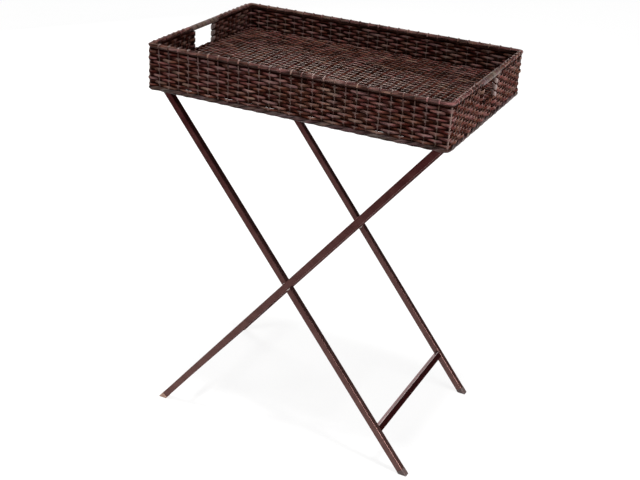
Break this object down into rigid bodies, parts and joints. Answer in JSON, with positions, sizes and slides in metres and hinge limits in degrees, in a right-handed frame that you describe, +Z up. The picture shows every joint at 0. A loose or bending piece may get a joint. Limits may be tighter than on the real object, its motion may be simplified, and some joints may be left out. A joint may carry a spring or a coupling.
{
  "type": "folding tray table",
  "caption": "Woven rectangular serving tray with hand holes, resting on a folding X stand of slim square steel tube.",
  "frame": {"origin": "on the floor, under the middle of the tray", "axes": "+X along the tray's long side, +Y across it away from the picture's near side, +Z up"},
  "size_m": [0.6, 0.39, 0.77],
  "materials": {
    "stand_paint": "bronze brown satin paint",
    "cap_plastic": "tan brown moulded plastic",
    "fastener_steel": "darkened zinc",
    "washer_plastic": "pale nylon",
    "tray_steel": "dark brown paint",
    "woven_strand": "flat resin strand, plain weave",
    "border_strand": "bound resin strand",
    "grip_strand": "smooth wrapped resin strand"
  },
  "bodies": {
    "left_frame": {"left_frame_front_leg": "stand_paint", "left_frame_rear_leg": "stand_paint", "left_frame_top_bar": "stand_paint", "left_frame_stretcher": "stand_paint", "left_frame_front_foot": "cap_plastic", "left_frame_rear_foot": "cap_plastic", "left_frame_top_plugs": "cap_plastic", "pivot_studs": "fastener_steel", "spacer_washers": "washer_plastic", "nut_washers": "fastener_steel", "pivot_nuts": "fastener_steel"},
    "right_frame": {"right_frame_front_leg": "stand_paint", "right_frame_rear_leg": "stand_paint", "right_frame_top_bar": "stand_paint", "right_frame_stretcher": "stand_paint", "right_frame_front_foot": "cap_plastic", "right_frame_rear_foot": "cap_plastic", "right_frame_top_plugs": "cap_plastic"},
    "tray": {"rim_rod": "tray_steel", "base_rod": "tray_steel", "corner_posts": "tray_steel", "handle_posts": "tray_steel", "floor_ring": "tray_steel", "floor_bars": "tray_steel", "front_wall_weave": "woven_strand", "rear_wall_weave": "woven_strand", "left_wall_weave": "woven_strand", "right_wall_weave": "woven_strand", "floor_weave": "woven_strand", "front_rim_binding": "border_strand", "rear_rim_binding": "border_strand", "base_binding": "border_strand", "left_grip_wrap": "grip_strand", "right_grip_wrap": "grip_strand"}
  },
  "joints": [
    {"name": "stand_fold", "type": "hinge", "parent": "left_frame", "child": "right_frame", "pos_m": [0, 0, 0.339], "axis": [0, 1, 0], "range_deg": [0, 75]},
    {"name": "tray_lift", "type": "slide", "parent": "left_frame", "child": "tray", "axis": [0, 0, 1], "range_m": [0, 0.393]}
  ],
  "couplings": [
    {"joint": "tray_lift", "follows": "stand_fold", "m_per_rad": 0.3}
  ]
}
